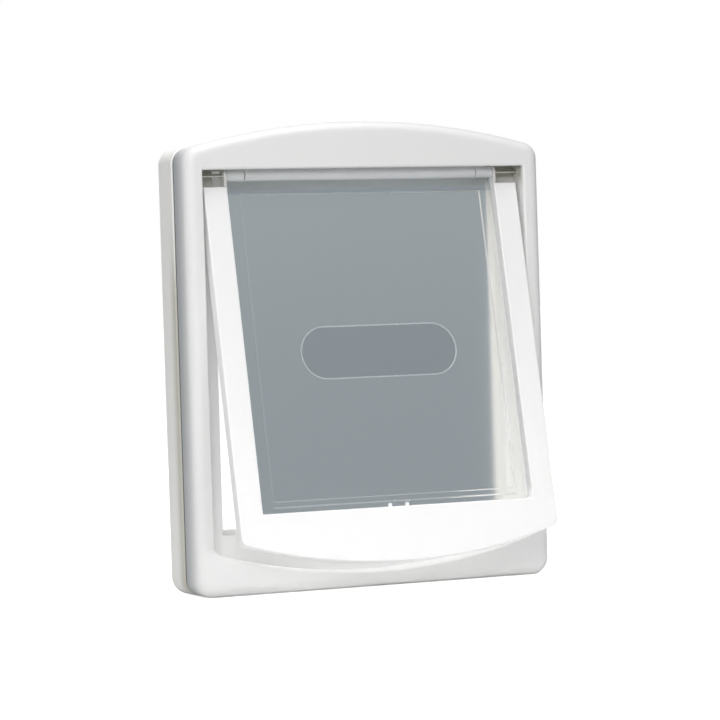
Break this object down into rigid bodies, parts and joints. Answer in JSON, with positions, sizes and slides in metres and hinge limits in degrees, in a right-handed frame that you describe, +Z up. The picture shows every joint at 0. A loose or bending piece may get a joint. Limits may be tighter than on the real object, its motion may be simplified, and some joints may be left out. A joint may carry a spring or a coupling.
{
  "type": "pet door",
  "caption": "Arched white pet door frame in two clamping halves, with an outward-swinging flap surround and an inward-swinging tinted panel on one hinge rod.",
  "frame": {"origin": "middle of the lower edge of the clamp gap, on the gap's mid-plane", "axes": "+X to the right seen from outside, +Y through the door to the inside, +Z up"},
  "size_m": [0.294, 0.1082, 0.352],
  "materials": {
    "white_plastic": "satin",
    "tinted_panel": "gloss",
    "steel": "satin",
    "bush_plastic": "matte",
    "magnet": "matte"
  },
  "bodies": {
    "frame": {"outer_frame": "white_plastic", "inner_frame": "white_plastic", "hinge_rod": "steel", "hinge_bush_left": "bush_plastic", "hinge_bush_right": "bush_plastic", "fixing_screws": "steel", "screw_caps": "white_plastic", "sill_magnet": "magnet"},
    "surround": {"flap_surround": "white_plastic", "surround_magnet": "magnet"},
    "panel": {"flap_panel": "tinted_panel"}
  },
  "joints": [
    {"name": "surround_swing", "type": "hinge", "parent": "frame", "child": "surround", "pos_m": [0, -0.0135, 0.3124], "axis": [-1, 0, 0], "range_deg": [-11.5, 63.5]},
    {"name": "panel_swing", "type": "hinge", "parent": "surround", "child": "panel", "pos_m": [0, -0.0135, 0.3124], "axis": [1, 0, 0], "range_deg": [0, 62]}
  ]
}
